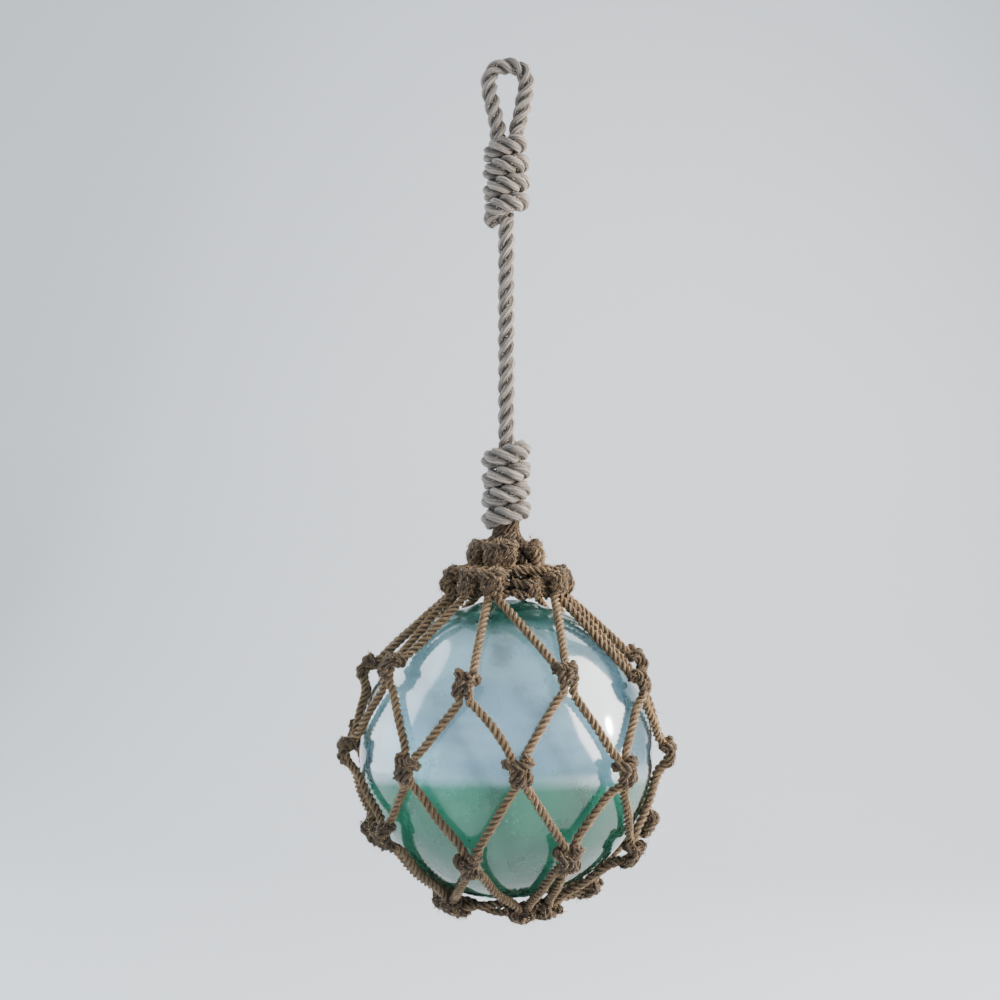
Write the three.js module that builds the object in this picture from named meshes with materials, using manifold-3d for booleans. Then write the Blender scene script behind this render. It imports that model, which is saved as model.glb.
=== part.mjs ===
// A sea-green glass net float in a knotted hemp net, hung on a thicker rope.
// Millimetres, +Z up. The origin lies inside the top of the rope's hanging eye,
// where a hook bears, and the float hangs below it. -Y is the front.
import * as THREE from 'three';
import { mergeVertices } from 'three/addons/utils/BufferGeometryUtils.js';
import Module from 'manifold-3d';

const wasm = await Module();
wasm.setup();
const { Manifold, Mesh: SolidMesh } = wasm;

const deg = THREE.MathUtils.degToRad;

// ---------------------------------------------------------------- driving dimensions
const GAP = 0.3;                 // air between neighbouring pieces

const BALL_RADIUS = 101.2;       // an eight-inch float
const BALL_CENTRE_Z = -465;
const BALL_SIDES = 28;
const SEAL_RADIUS = 23;          // the button of glass that closes the blowhole
const SEAL_HEIGHT = 1;
const SEAL_SLOPE = 3;            // half the width of the button's sloping edge
const RIPPLE_RADIUS = 42;        // a shallow ring left round the button
const RIPPLE_HEIGHT = 0.6;
const RIPPLE_WIDE = 5;           // half its width
const BALL_RINGS = 14;

const NET_CORD = 6;              // diameter of the net's cord
const MESHES_ROUND = 9;          // meshes round the ball
const KNOT_RADIUS = 108.4;       // a knot's middle, from the middle of the ball
const LEG_CLEAR = 1;             // a cord's middle stands this much over its own radius
const DRAW_CORD = 9.6;           // the doubled cord that closes the net below the ball
const CORD_SPARE = 0.1;          // a faceted cord is drawn this much thicker
const CORD_SIDES = 4;
const LEG_STEPS = 2;
const KNOT_SIDES = 6;
const KNOT_RINGS = 4;
const BIGHT_BEARING = deg(-41);   // turns the lump so that a corner lies on the bight
const KNOT_SIZE = { crest: 0.98, rest: 1.1, varies: 0.05 };
const KNOT_SWAY = deg(9);        // how far a knot may turn out of the upright
const PORT_APART = 3.3;          // half the distance between the two cords at a knot
const PORT_ABOVE = 3;
const PORT_BELOW = 6;
const PORT_DEEP = 1.6;
const TIER_TILT = 20;            // the crown's knots lean back by this many degrees
const CROWN_TOP_Z = -314.7;      // the net ends here, inside the rope's lower coil

const ROPE = 12;                 // diameter of the hanger rope
const UPPER_COIL = { top: -43, bottom: -102.6, outer: 16.1, pitch: 13.1 };
const LOWER_COIL = { top: -251.4, bottom: -314.4, outer: 17, pitch: 13.7 };
const COIL_SIDES = 10;
const COIL_ROWS = 4;             // rows of facets to each turn
const COIL_GROOVE = 2.6;         // depth of the groove between two turns
const COIL_ROUNDED = 2.5;        // how much the first and last ring draw in
const STUB = { top: 4.7, foot: 5.2, length: 12, sides: 6 };   // a cut end of the rope
const ROPE_SIDES = 8;
const RUN_STEPS = 5;
const EYE_STEPS = 20;

// ---------------------------------------------------------------- the rows of knots
// Bearing 0 faces the front and grows to the right. Each row starts at its own bearing;
// lean moves single knots along the row and lift moves them up, in degrees.
const STEP = 360 / MESHES_ROUND;
const SHOULDER = { bearing: -96, latitude: 30.8, lean: [3, 0, 0, 0, 1, -4, 0, 0, 0],
  lift: [-1, 4, 0, 3, -3, 2, 0, 1, -1] };
const WAIST = { bearing: -76, latitude: 0.6, lean: [0, 1, 0, -1, 1, 0, 0, 0, 10],
  lift: [1, 1, 2, -1, -1, 0, 1, -1, 2] };
const HAUNCH = { bearing: -96, latitude: -30.4, lean: [0, 4, 2, 0, 1, -12, 0, 0, 0],
  lift: [-2, 6, -1, 1, -4, 2, 0, 1, -1] };
const FOOT = { bearing: -76, latitude: -67, lean: [0, -16, 12, -2, 0, 0, 0, 0, 0],
  lift: [-1, 0, -4, -2, 8, 3, 0, 0, 1] };

// Above the ball the net is gathered in two tiers, given by ring radius and height.
const COLLAR = { bearing: -76, radius: 38.4, z: -348.6, lean: [-2, -3, -18, 15, 2, 0, -10, 0, 0] };
const CREST = { bearing: -96, radius: 20.5, z: -329.4, lean: [-4, -10, -8, -24, 2, 4, 4, 12, 8] };
const NECK = { top: 8.5, foot: 22, length: 17 };
const DROPPED_LEG = 2;           // this shoulder knot has no upper-left leg

const ballCentre = new THREE.Vector3(0, 0, BALL_CENTRE_Z);
const turn = (list, i) => list[(i + MESHES_ROUND) % MESHES_ROUND];

function towards(bearing, latitude) {
  const a = deg(bearing);
  const b = deg(latitude);
  return new THREE.Vector3(Math.sin(a) * Math.cos(b), -Math.cos(a) * Math.cos(b), Math.sin(b));
}

// A knot's place: its middle, the way out of the ball there, and the way up and right.
function placeOf(at, out, sway) {
  const up = new THREE.Vector3(0, 0, 1);
  up.addScaledVector(out, -up.dot(out)).normalize().applyAxisAngle(out, sway);
  const right = new THREE.Vector3().crossVectors(up, out);
  return { at, out, up, right };
}

// An uneven swing between -1 and 1, so that no two knots are alike.
const uneven = (i, row) => Math.sin(3.1 * i + 1.7 * row);
const swayOf = (row, i) => KNOT_SWAY * uneven(i, row.bearing);

function rowOnBall(row) {
  return row.lean.map((lean, i) => {
    const out = towards(row.bearing + STEP * i + lean, row.latitude + row.lift[i]);
    const at = out.clone().multiplyScalar(KNOT_RADIUS).add(ballCentre);
    return placeOf(at, out, swayOf(row, i));
  });
}

function tierAbove(tier) {
  return tier.lean.map((lean, i) => {
    const bearing = tier.bearing + STEP * i + lean;
    const at = towards(bearing, 0).multiplyScalar(tier.radius).setZ(tier.z);
    return placeOf(at, towards(bearing, TIER_TILT), swayOf(tier, i));
  });
}

// Where a cord leaves a knot: left or right of its middle (-1, 1), above or below (1, -1).
function port(place, side, end) {
  return place.at.clone().addScaledVector(place.right, side * PORT_APART)
    .addScaledVector(place.up, end > 0 ? PORT_ABOVE : -PORT_BELOW)
    .addScaledVector(place.out, -PORT_DEEP);
}

// ---------------------------------------------------------------- solids
function toSolid(geometry) {
  const bare = geometry.clone();
  bare.deleteAttribute('normal');
  bare.deleteAttribute('uv');
  const merged = mergeVertices(bare, 1e-4);
  const index = [];
  const source = merged.index.array;
  for (let i = 0; i < source.length; i += 3) {
    const [a, b, c] = [source[i], source[i + 1], source[i + 2]];
    if (a !== b && b !== c && c !== a) index.push(a, b, c);
  }
  return new Manifold(new SolidMesh({
    numProp: 3,
    vertProperties: new Float32Array(merged.attributes.position.array),
    triVerts: new Uint32Array(index),
  }));
}

function toGeometry(solid) {
  const mesh = solid.getMesh();
  const geometry = new THREE.BufferGeometry();
  geometry.setAttribute('position', new THREE.BufferAttribute(mesh.vertProperties, 3));
  geometry.setIndex(new THREE.BufferAttribute(mesh.triVerts, 1));
  return geometry;
}

const join = (geometries) => toGeometry(Manifold.union(geometries.map(toSolid)));

function polygon(radius, sides, start = 0) {
  const corners = [];
  for (let i = 0; i < sides; i += 1) {
    const a = start + (2 * Math.PI * i) / sides;
    corners.push(new THREE.Vector2(radius * Math.cos(a), radius * Math.sin(a)));
  }
  return new THREE.Shape(corners);
}

function tube(curve, radius, sides, steps) {
  return new THREE.ExtrudeGeometry(polygon(radius, sides), {
    steps, bevelEnabled: false, extrudePath: curve,
  });
}

// A cord leg that lies over the ball: it dips from the knots to the glass between them.
class LegOverBall extends THREE.Curve {
  constructor(from, to, radius) {
    super();
    this.from = from.clone().sub(ballCentre);
    this.to = to.clone().sub(ballCentre);
    this.lying = BALL_RADIUS + radius + LEG_CLEAR;
  }

  getPoint(t, target = new THREE.Vector3()) {
    const angle = this.from.angleTo(this.to);
    const near = Math.sin((1 - t) * angle) / Math.sin(angle) / this.from.length();
    const far = Math.sin(t * angle) / Math.sin(angle) / this.to.length();
    const end = t < 0.5 ? this.from.length() : this.to.length();
    return target.copy(this.from).multiplyScalar(near).addScaledVector(this.to, far)
      .multiplyScalar(this.lying + (end - this.lying) * (2 * t - 1) ** 4)
      .add(ballCentre);
  }
}

const CORD_RADIUS = NET_CORD / 2 + CORD_SPARE;
const legOverBall = (a, b, radius = CORD_RADIUS) => (
  tube(new LegOverBall(a, b, radius), radius, CORD_SIDES, LEG_STEPS)
);
const straightLeg = (a, b) => tube(new THREE.LineCurve3(a, b), CORD_RADIUS, CORD_SIDES, 1);

// A sheet-bend knot in its own frame (right, in towards the ball, up): a drum where the
// bight is wrapped, a body below it where the two lower legs part, and the round end of
// the bight that stands out at the upper right. Each lump is a middle and three half axes.
const KNOT_LUMPS = [
  { at: [0, -0.6, 3.6], half: [9.6, 8.4, 5] },
  { at: [-0.4, 0, -4.4], half: [7, 6.4, 8.8] },
  { at: [5.4, -4.2, 6.6], half: [4.5, 4.5, 4.5] },
];

// How far the knot reaches from its middle in one direction.
function reach(direction) {
  let far = 0;
  for (const { at, half } of KNOT_LUMPS) {
    const d = direction.map((v, k) => v / half[k]);
    const m = at.map((v, k) => v / half[k]);
    const dd = d.reduce((sum, v) => sum + v * v, 0);
    const dm = d.reduce((sum, v, k) => sum + v * m[k], 0);
    const mm = m.reduce((sum, v) => sum + v * v, 0);
    const root = dm * dm - dd * (mm - 1);
    if (root > 0) far = Math.max(far, (dm + Math.sqrt(root)) / dd);
  }
  return far;
}

function knot(place, size) {
  const inwards = place.out.clone().negate();
  const frame = new THREE.Matrix4().makeBasis(place.right, inwards, place.up);
  frame.setPosition(place.at);

  const lump = new THREE.SphereGeometry(1, KNOT_SIDES, KNOT_RINGS).rotateX(Math.PI / 2);
  lump.rotateZ(BIGHT_BEARING);
  const spot = lump.attributes.position;
  for (let i = 0; i < spot.count; i += 1) {
    const direction = [spot.getX(i), spot.getY(i), spot.getZ(i)];
    const r = size * reach(direction);
    spot.setXYZ(i, ...direction.map((v) => v * r));
  }
  return lump.applyMatrix4(frame);
}

// ---------------------------------------------------------------- the pieces
function glassFloat() {
  const points = [new THREE.Vector2(0, -BALL_RADIUS)];
  for (let i = 1; i < BALL_RINGS; i += 1) {
    const a = -Math.PI / 2 + (Math.PI * i) / BALL_RINGS;
    const r = BALL_RADIUS * Math.cos(a);
    if (a > 0 && r < RIPPLE_RADIUS + 1.5 * RIPPLE_WIDE) break;
    points.push(new THREE.Vector2(r, BALL_RADIUS * Math.sin(a)));
  }
  const top = [[RIPPLE_RADIUS + RIPPLE_WIDE, 0], [RIPPLE_RADIUS, RIPPLE_HEIGHT],
    [RIPPLE_RADIUS - RIPPLE_WIDE, 0], [SEAL_RADIUS + SEAL_SLOPE, 0],
    [SEAL_RADIUS - SEAL_SLOPE, SEAL_HEIGHT]];
  for (const [r, rise] of top) {
    points.push(new THREE.Vector2(r, Math.sqrt(BALL_RADIUS ** 2 - r * r) + rise));
  }
  points.push(new THREE.Vector2(0, BALL_RADIUS + SEAL_HEIGHT));
  const ball = new THREE.LatheGeometry(points, BALL_SIDES).rotateX(Math.PI / 2);
  return toGeometry(toSolid(ball.translate(0, 0, BALL_CENTRE_Z)));
}

function net() {
  const shoulder = rowOnBall(SHOULDER);
  const waist = rowOnBall(WAIST);
  const haunch = rowOnBall(HAUNCH);
  const foot = rowOnBall(FOOT);
  const collar = tierAbove(COLLAR);
  const crest = tierAbove(CREST);
  const cords = [];
  // Each knot hangs from two above: the lower row's knot i lies between the upper row's
  // knots i and i + 1, or i - 1 and i where the upper row starts further left.
  const overBall = (upper, lower, shift) => {
    for (let i = 0; i < MESHES_ROUND; i += 1) {
      const left = turn(upper, i + shift);
      const right = turn(upper, i + shift + 1);
      cords.push(legOverBall(port(left, 1, -1), port(lower[i], -1, 1)));
      cords.push(legOverBall(port(right, -1, -1), port(lower[i], 1, 1)));
    }
  };
  overBall(shoulder, waist, 0);
  overBall(waist, haunch, -1);
  overBall(haunch, foot, 0);

  for (let i = 0; i < MESHES_ROUND; i += 1) {
    cords.push(straightLeg(port(collar[i], -1, -1), port(shoulder[i], 1, 1)));
    const next = turn(shoulder, i + 1);
    if (i + 1 !== DROPPED_LEG) {
      cords.push(straightLeg(port(collar[i], 1, -1), port(next, -1, 1)));
    }
    cords.push(straightLeg(port(collar[i], -1, 1), port(crest[i], 1, -1)));
    cords.push(legOverBall(foot[i].at, turn(foot, i + 1).at, DRAW_CORD / 2));
  }
  const neck = new THREE.CylinderGeometry(NECK.top, NECK.foot, NECK.length, MESHES_ROUND);
  neck.rotateX(Math.PI / 2).translate(0, 0, CROWN_TOP_Z - NECK.length / 2);
  cords.push(neck);

  const tiers = [crest, collar, shoulder, waist, haunch, foot];
  tiers.forEach((tier, t) => tier.forEach((place, i) => {
    const size = tier === crest ? KNOT_SIZE.crest : KNOT_SIZE.rest;
    cords.push(knot(place, size + KNOT_SIZE.varies * uneven(i, t)));
  }));
  return join(cords);
}

// Turns of rope wound side by side round the standing part, as one closed barrel.
function coil({ top, bottom, outer, pitch }, stubs) {
  const length = top - bottom;
  const rows = Math.round((length / pitch) * COIL_ROWS);
  const barrel = new THREE.CylinderGeometry(outer, outer, length, COIL_SIDES, rows, false);
  barrel.rotateX(Math.PI / 2);
  const place = barrel.attributes.position;
  for (let i = 0; i < place.count; i += 1) {
    const [x, y, z] = [place.getX(i), place.getY(i), place.getZ(i)];
    const r = Math.hypot(x, y);
    const phase = z / pitch - Math.atan2(y, x) / (2 * Math.PI);
    const groove = COIL_GROOVE * (1 - Math.abs(Math.cos(Math.PI * phase))) ** 1.5;
    const end = Math.abs(z) > 0.49 * length ? COIL_ROUNDED : 0;
    if (r < GAP) continue;
    const scale = (outer - groove - end) / r;
    place.setXY(i, x * scale, y * scale);
  }
  barrel.translate(0, 0, (top + bottom) / 2);
  return join([barrel, ...stubs]);
}

// The cut end of the rope, standing out of a coil.
function stub(x, y, z, lean) {
  const end = new THREE.CylinderGeometry(STUB.top, STUB.foot, STUB.length, STUB.sides);
  end.rotateX(Math.PI / 2);
  return end.rotateY(lean).translate(x, y, z);
}

function hangingEye() {
  const foot = UPPER_COIL.top + GAP;
  const line = [[-5.4, foot], [-5.4, foot + 4], [-6.8, -32], [-9.6, -20], [-12, -8],
    [-10.6, 1.6], [-5, 5.9], [1, 6.6], [7.2, 5.8], [12.6, 1], [13.8, -8], [11.6, -20],
    [9.2, -32], [8.2, foot + 4], [8.2, foot]];
  const path = new THREE.CatmullRomCurve3(line.map(([x, z]) => new THREE.Vector3(x, 0, z)));
  return tube(path, ROPE / 2, ROPE_SIDES, EYE_STEPS);
}

function hangerRope() {
  const from = new THREE.Vector3(0, 0, UPPER_COIL.bottom - GAP);
  const to = new THREE.Vector3(0, 0, LOWER_COIL.top + GAP);
  return tube(new THREE.LineCurve3(from, to), ROPE / 2, ROPE_SIDES, RUN_STEPS);
}

// ---------------------------------------------------------------- the group
const glass = new THREE.MeshStandardMaterial({ color: 0x5fa398, roughness: 0.08, metalness: 0 });
const hemp = new THREE.MeshStandardMaterial({ color: 0x5b4a38, roughness: 0.95, metalness: 0 });
const rope = new THREE.MeshStandardMaterial({ color: 0x6e655b, roughness: 0.95, metalness: 0 });

function piece(name, geometry, material) {
  const mesh = new THREE.Mesh(geometry, material);
  mesh.name = name;
  return mesh;
}

const float = new THREE.Group();
float.add(
  piece('glass_float', glassFloat(), glass),
  piece('net', net(), hemp),
  piece('hanger_lower_coil', coil(LOWER_COIL, [
    stub(12, -4, LOWER_COIL.top - 5, 0.25), stub(-12.4, -4, LOWER_COIL.bottom + 7, 0.2),
  ]), rope),
  piece('hanger_rope', hangerRope(), rope),
  piece('hanger_upper_coil', coil(UPPER_COIL, [
    stub(-12.5, -3, UPPER_COIL.bottom + 3, 0.1),
  ]), rope),
  piece('hanger_eye', hangingEye(), rope),
);

export default float;
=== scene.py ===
"""A glass net float on a rope hanger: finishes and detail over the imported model.

The ball is hollow blown glass in a knotted hemp net, hung on a thicker laid rope with a
coiled knot at each end and an eye at the top. Lengths are metres, +Z is up, the front is -Y.
"""
import math
import random

import bmesh
import bpy
from bpy.props import FloatProperty, FloatVectorProperty, IntProperty, PointerProperty
from mathutils import Matrix, Quaternion, Vector, noise


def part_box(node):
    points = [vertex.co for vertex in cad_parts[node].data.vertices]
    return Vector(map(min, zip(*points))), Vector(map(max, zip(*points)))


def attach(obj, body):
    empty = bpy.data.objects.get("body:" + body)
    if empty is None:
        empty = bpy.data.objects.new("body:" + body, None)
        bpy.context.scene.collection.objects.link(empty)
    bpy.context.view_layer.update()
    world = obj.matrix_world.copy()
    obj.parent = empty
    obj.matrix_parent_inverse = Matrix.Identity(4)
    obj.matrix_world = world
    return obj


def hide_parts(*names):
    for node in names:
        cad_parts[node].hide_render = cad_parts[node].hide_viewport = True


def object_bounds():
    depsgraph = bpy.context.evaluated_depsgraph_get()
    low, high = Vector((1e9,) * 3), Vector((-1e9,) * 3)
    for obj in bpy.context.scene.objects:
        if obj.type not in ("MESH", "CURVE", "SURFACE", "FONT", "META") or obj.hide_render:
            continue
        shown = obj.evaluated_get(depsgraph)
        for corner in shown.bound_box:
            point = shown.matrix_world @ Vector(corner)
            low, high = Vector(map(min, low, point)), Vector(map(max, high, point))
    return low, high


bl_info = {
    "name": "Glass Net Float",
    "version": (1, 0, 0),
    "blender": (4, 5, 0),
    "location": "View3D > Sidebar > Net Float",
    "description": "Builds a glass float ball in a knotted net on a laid rope",
    "category": "Object",
}

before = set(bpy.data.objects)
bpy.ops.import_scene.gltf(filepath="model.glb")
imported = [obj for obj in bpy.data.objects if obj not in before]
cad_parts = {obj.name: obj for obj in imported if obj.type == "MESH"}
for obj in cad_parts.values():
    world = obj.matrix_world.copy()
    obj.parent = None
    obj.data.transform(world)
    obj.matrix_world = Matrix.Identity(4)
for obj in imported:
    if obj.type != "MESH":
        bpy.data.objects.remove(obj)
CAD_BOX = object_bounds()

MM = 0.001
TURN = 2 * math.pi

# ------------------------------------------------------------------ places from the frame
BALL_LOW, BALL_HIGH = (Vector(corner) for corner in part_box("glass_float"))
BALL_RADIUS = (BALL_HIGH.x - BALL_LOW.x) / 2
BALL_CENTRE = Vector((0, 0, BALL_LOW.z + BALL_RADIUS))
RUN_LOW, RUN_HIGH = (Vector(corner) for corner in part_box("hanger_rope"))
UPPER_COIL_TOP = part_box("hanger_eye")[0][2]
NECK_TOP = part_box("net")[1][2]

# ------------------------------------------------------------------ the rows of knots
# Bearing 0 faces the front and grows to the right. lean moves single knots along the row
# and lift moves them up, in degrees. The two tiers above the ball are rings in metres.
MESHES_ROUND = 9
STEP = 360 / MESHES_ROUND
KNOT_RADIUS = BALL_RADIUS + 7.8 * MM
SHOULDER = {"bearing": -96, "latitude": 30.8, "lean": (3, 0, 0, 0, 1, -4, 0, 0, 0),
            "lift": (-1, 4, 0, 3, -3, 2, 0, 1, -1)}
WAIST = {"bearing": -76, "latitude": 0.6, "lean": (0, 1, 0, -1, 1, 0, 0, 0, 10),
         "lift": (1, 1, 2, -1, -1, 0, 1, -1, 2)}
HAUNCH = {"bearing": -96, "latitude": -30.4, "lean": (0, 4, 2, 0, 1, -12, 0, 0, 0),
          "lift": (-2, 6, -1, 1, -4, 2, 0, 1, -1)}
FOOT = {"bearing": -76, "latitude": -67, "lean": (0, -16, 12, -2, 0, 0, 0, 0, 0),
        "lift": (-1, 0, -4, -2, 8, 3, 0, 0, 1)}
COLLAR = {"bearing": -76, "radius": 38.4 * MM, "z": -348.6 * MM,
          "lean": (-2, -3, -18, 15, 2, 0, -10, 0, 0)}
CREST = {"bearing": -96, "radius": 20.5 * MM, "z": -329.4 * MM,
         "lean": (-4, -10, -8, -24, 2, 4, 4, 12, 8)}
END_KNOT = {"bearing": 31, "radius": 32 * MM, "z": -352 * MM, "size": 0.74}
TIER_TILT = 20
KNOT_SWAY = math.radians(9)
# The collar has no second leg to this knot of the shoulder.
DROPPED_LEG = 2


# ------------------------------------------------------------------ settings
class FloatSizes(bpy.types.PropertyGroup):
    """Sizes a user would change."""

    net_cord: FloatProperty(
        name="Net cord", description="Diameter of the net's cord",
        default=6 * MM, min=0.001, unit="LENGTH", subtype="DISTANCE")
    net_lay: FloatProperty(
        name="Net lay", description="Length of one full turn of the net cord's strands",
        default=13.5 * MM, min=0.001, unit="LENGTH", subtype="DISTANCE")
    rope: FloatProperty(
        name="Rope", description="Diameter of the hanger rope",
        default=12 * MM, min=0.001, unit="LENGTH", subtype="DISTANCE")
    rope_lay: FloatProperty(
        name="Rope lay", description="Length of one full turn of the rope's strands",
        default=32 * MM, min=0.001, unit="LENGTH", subtype="DISTANCE")
    wall: FloatProperty(
        name="Glass wall", description="Thickness of the ball's glass",
        default=4 * MM, min=0.0005, unit="LENGTH", subtype="DISTANCE")
    seeds: IntProperty(
        name="Seeds", description="Number of small air bubbles in the glass", default=90, min=0)
    fuzz: FloatProperty(
        name="Fuzz", description="Loose fibres for each metre of net cord", default=1100, min=0)


class FloatColours(bpy.types.PropertyGroup):
    """Colours a user would change."""

    net: FloatVectorProperty(
        name="Net", description="The net cord where it catches the light",
        default=(0.50, 0.318, 0.160), size=3, min=0, max=1, subtype="COLOR")
    rope: FloatVectorProperty(
        name="Rope", description="The hanger rope where it catches the light",
        default=(0.45, 0.375, 0.305), size=3, min=0, max=1, subtype="COLOR")
    glass: FloatVectorProperty(
        name="Glass", description="The glass's own tint",
        default=(0.76, 0.87, 0.97), size=3, min=0, max=1, subtype="COLOR")
    depth: FloatVectorProperty(
        name="Glass depth", description="What thick glass lets through",
        default=(0.10, 0.70, 0.54), size=3, min=0, max=1, subtype="COLOR")
    backdrop: FloatVectorProperty(
        name="Backdrop", description="The floor and the wall behind",
        default=(0.74, 0.76, 0.78), size=3, min=0, max=1, subtype="COLOR")


# ------------------------------------------------------------------ shader maths
class Wire:
    """A shader output that takes part in Python arithmetic."""

    def __init__(self, graph, socket):
        self.graph = graph
        self.socket = socket

    def maths(self, operation, *others):
        """This value and the others through one Math node."""
        sockets = dict(enumerate((self, *others)))
        return self.graph.make("ShaderNodeMath", {"operation": operation}, sockets)

    def __add__(self, other):
        return self.maths("ADD", other)

    __radd__ = __add__

    def __sub__(self, other):
        return self.maths("SUBTRACT", other)

    def __rsub__(self, other):
        return self.graph.make("ShaderNodeMath", {"operation": "SUBTRACT"}, {0: other, 1: self})

    def __mul__(self, other):
        return self.maths("MULTIPLY", other)

    __rmul__ = __mul__

    def __pow__(self, other):
        return self.maths("POWER", other)

    def ramp(self, low, high):
        """0 below low, 1 above high and straight between them."""
        sockets = {0: self, 1: low, 2: high, 3: 0.0, 4: 1.0}
        return self.graph.make("ShaderNodeMapRange", {"clamp": True}, sockets)

    def times(self, scale):
        """A vector stretched by three numbers."""
        return self.graph.make(
            "ShaderNodeVectorMath", {"operation": "MULTIPLY"}, {0: self, 1: scale})


class Graph:
    """The node tree of one material."""

    def __init__(self, name):
        self.material = bpy.data.materials.new(name)
        self.material.use_nodes = True
        self.tree = self.material.node_tree
        self.tree.nodes.clear()

    def node(self, kind, settings, sockets):
        """A node with its settings made first and then its sockets, by name or number."""
        new = self.tree.nodes.new(kind)
        for key, value in settings.items():
            setattr(new, key, value)
        for key, value in sockets.items():
            socket = new.inputs[key]
            if isinstance(value, Wire):
                self.tree.links.new(value.socket, socket)
            else:
                socket.default_value = value
        return new

    def make(self, kind, settings=None, sockets=None, out=0):
        """The same, giving the node's output as a wire."""
        return Wire(self, self.node(kind, settings or {}, sockets or {}).outputs[out])

    def mix(self, factor, first, second, blend="MIX"):
        """Two colours mixed."""
        colours = [colour if isinstance(colour, Wire) else (*colour, 1)
                   for colour in (first, second)]
        settings = {"data_type": "RGBA", "blend_type": blend}
        return self.make(
            "ShaderNodeMix", settings, {0: factor, 6: colours[0], 7: colours[1]}, out=2)

    def noise(self, vector, scale, detail=2.0, roughness=0.5):
        """Smooth noise from 0 to 1."""
        sockets = {"Vector": vector, "Scale": scale, "Detail": detail, "Roughness": roughness}
        return self.make("ShaderNodeTexNoise", {}, sockets)

    def attribute(self, name):
        """A vector stored on the mesh's points."""
        return self.make("ShaderNodeAttribute", {"attribute_name": name}, out=1)

    def place(self):
        """Object coordinates."""
        return self.make("ShaderNodeTexCoord", out=3)

    def split(self, vector):
        """A vector's three numbers."""
        parts = self.node("ShaderNodeSeparateXYZ", {}, {0: vector}).outputs
        return [Wire(self, part) for part in parts]

    def bump(self, height, strength, distance):
        """A normal bumped by height."""
        sockets = {"Height": height, "Strength": strength, "Distance": distance}
        return self.make("ShaderNodeBump", {}, sockets)

    def surface(self, sockets, volume=None):
        """The principled shader and the output."""
        shader = self.make("ShaderNodeBsdfPrincipled", {}, sockets)
        ends = {"Surface": shader}
        if volume:
            ends["Volume"] = volume
        self.node("ShaderNodeOutputMaterial", {}, ends)
        return self.material


def shade(colour, *by):
    """A colour times one number, or times a number for each of its three parts."""
    return tuple(part * times for part, times in zip(colour, by if len(by) == 3 else 3 * by))


def cordage(name, colour, yarns, seed, dirt_and_highlight=0.0):
    """Laid hemp: painted shade in the creases between strands and yarns, hairy yarns, patches of
    dirt, paler fibres with painted highlights, and painted shade towards the bottom of the float.
    """
    g = Graph(name)
    strand = g.attribute("strand")
    fibre = g.attribute("fibre")
    # The cosine of three times the angle is 1 on a strand's crown and -1 in a crease.
    cos_a = g.split(strand)[0]
    crown = 4 * cos_a * cos_a * cos_a - 3 * cos_a
    crown = (crown * 0.5 + 0.5) ** 0.6
    fibre_x, fibre_y, _ = g.split(fibre)
    angle = fibre_y.maths("ARCTAN2", fibre_x)
    wobble = g.noise(fibre.times((1.3, 1.3, 0.8)), 1.0)
    ridge = (angle * yarns + wobble * 9).maths("SINE") * 0.5 + 0.5
    streak = g.noise(fibre.times((4.2, 4.2, 0.9)), 1.0, 5.0, 0.7)
    speck = g.noise(fibre.times((9.0, 9.0, 6.0)), 1.0, 3.0, 0.7)
    at = g.place()
    patch = g.noise(at, 26.0 + seed, 4.0, 0.55)
    blotch = g.noise(at, 90.0 + seed, 3.0, 0.6)

    # A deep brown for the painted shade in the creases, and a brown for dirt, darker streaks and
    # the painted shade between the yarns.
    dark = shade(colour, 0.12)
    brown = shade(colour, 0.34)
    # Paler fibres with painted highlights: the streaks and specks mixed towards this colour are
    # partly paler fibres and partly painted highlights, brighter on the knots.
    pale_and_highlit = tuple(min(0.9, (1.7 + 3 * dirt_and_highlight) * c + 0.02) for c in colour)
    grey = (0.8 * colour[0] + 0.02, 0.86 * colour[1] + 0.02, 0.95 * colour[2] + 0.022)
    tone = g.mix(patch.ramp(0.4, 0.72) * 0.6, colour, grey)
    tone = g.mix(blotch.ramp(0.5, 0.72) * (0.45 + dirt_and_highlight), tone, brown)
    tone = g.mix(streak.ramp(0.5, 0.68) * 0.8, tone, pale_and_highlit)
    tone = g.mix(1 - streak.ramp(0.33, 0.47), tone, brown)
    # Painted shade in the grooves between the yarns.
    tone = g.mix((1 - ridge) * 0.45, tone, brown)
    # Painted highlights and paler fibres in specks.
    tone = g.mix(speck.ramp(0.58, 0.68) * (0.6 + dirt_and_highlight), tone, pale_and_highlit)
    # Painted shade: the cords are made darker and greyer towards the bottom of the float.
    low = 1 - g.split(at)[2].ramp(BALL_CENTRE.z - 0.7 * BALL_RADIUS,
                                  BALL_CENTRE.z + 0.1 * BALL_RADIUS)
    tone = g.mix(low * 0.8, tone, g.mix(1.0, tone, (0.5, 0.52, 0.55), "MULTIPLY"))
    # Painted shade: the creases between the strands go over to the deep brown.
    tone = g.mix(crown, dark, tone)
    height = ridge * 0.7 + streak * 0.8 + speck * 0.5
    return g.surface({
        "Base Color": tone,
        "Roughness": streak.ramp(0.2, 0.9) * 0.15 + 0.8,
        "Normal": g.bump(height, 1.0, 0.9 * MM),
        "Specular IOR Level": 0.22,
        "Sheen Weight": 0.12,
        "Sheen Roughness": 0.6,
    })


def loose_hemp_painted_highlight(name, colour):
    """Single fibres, painted paler than the cord as a painted highlight where the sun would reach
    them.
    """
    g = Graph(name)
    tuft = g.noise(g.place(), 140.0, 3.0, 0.6)
    tone = g.mix(tuft.ramp(0.35, 0.65), shade(colour, 0.45), colour)
    return g.surface({
        "Base Color": tone,
        "Roughness": tuft.ramp(0, 1) * 0.2 + 0.6,
        "Sheen Weight": 0.2,
    })


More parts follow.
